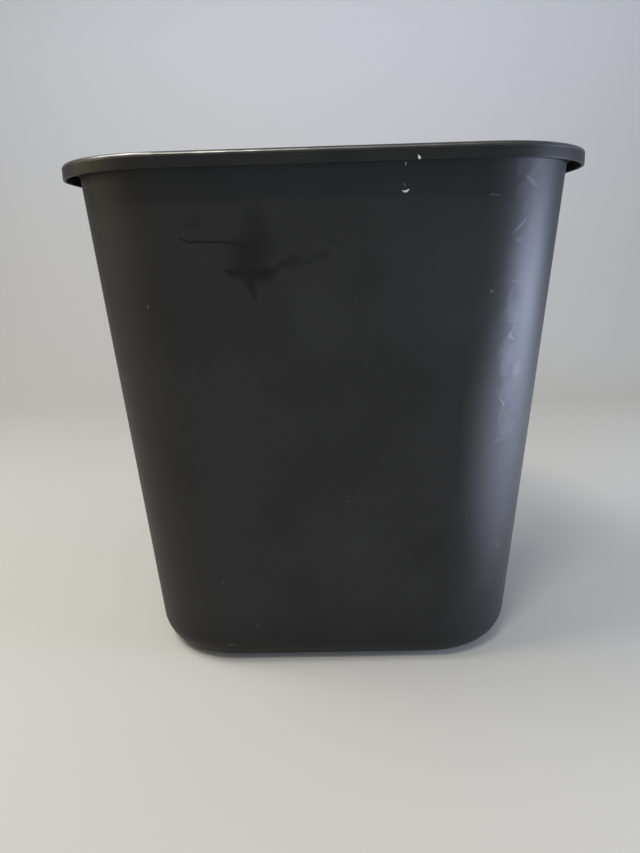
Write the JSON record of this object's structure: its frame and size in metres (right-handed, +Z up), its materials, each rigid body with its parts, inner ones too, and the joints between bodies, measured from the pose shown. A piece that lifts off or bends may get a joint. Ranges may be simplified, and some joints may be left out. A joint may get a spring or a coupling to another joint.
{
  "type": "wastebasket",
  "caption": "Open rectangular office wastebasket: tapered tub with rounded corners, a rounded base edge and a rolled, turned-down rim.",
  "frame": {"origin": "on the ground, at the middle of the base", "axes": "+Z up, X along the rim's long side, Y along its short side, -Y the side seen from the front"},
  "size_m": [0.366, 0.26, 0.381],
  "materials": {
    "basket_plastic": "satin charcoal polyethylene, scuffed"
  },
  "bodies": {
    "root": {"rim_flange": "basket_plastic", "rim_skirt": "basket_plastic", "front_wall": "basket_plastic", "back_wall": "basket_plastic", "left_wall": "basket_plastic", "right_wall": "basket_plastic", "wall_corners": "basket_plastic", "base_edges": "basket_plastic", "base_corners": "basket_plastic", "foot_ring": "basket_plastic", "floor_panel": "basket_plastic"}
  },
  "joints": []
}
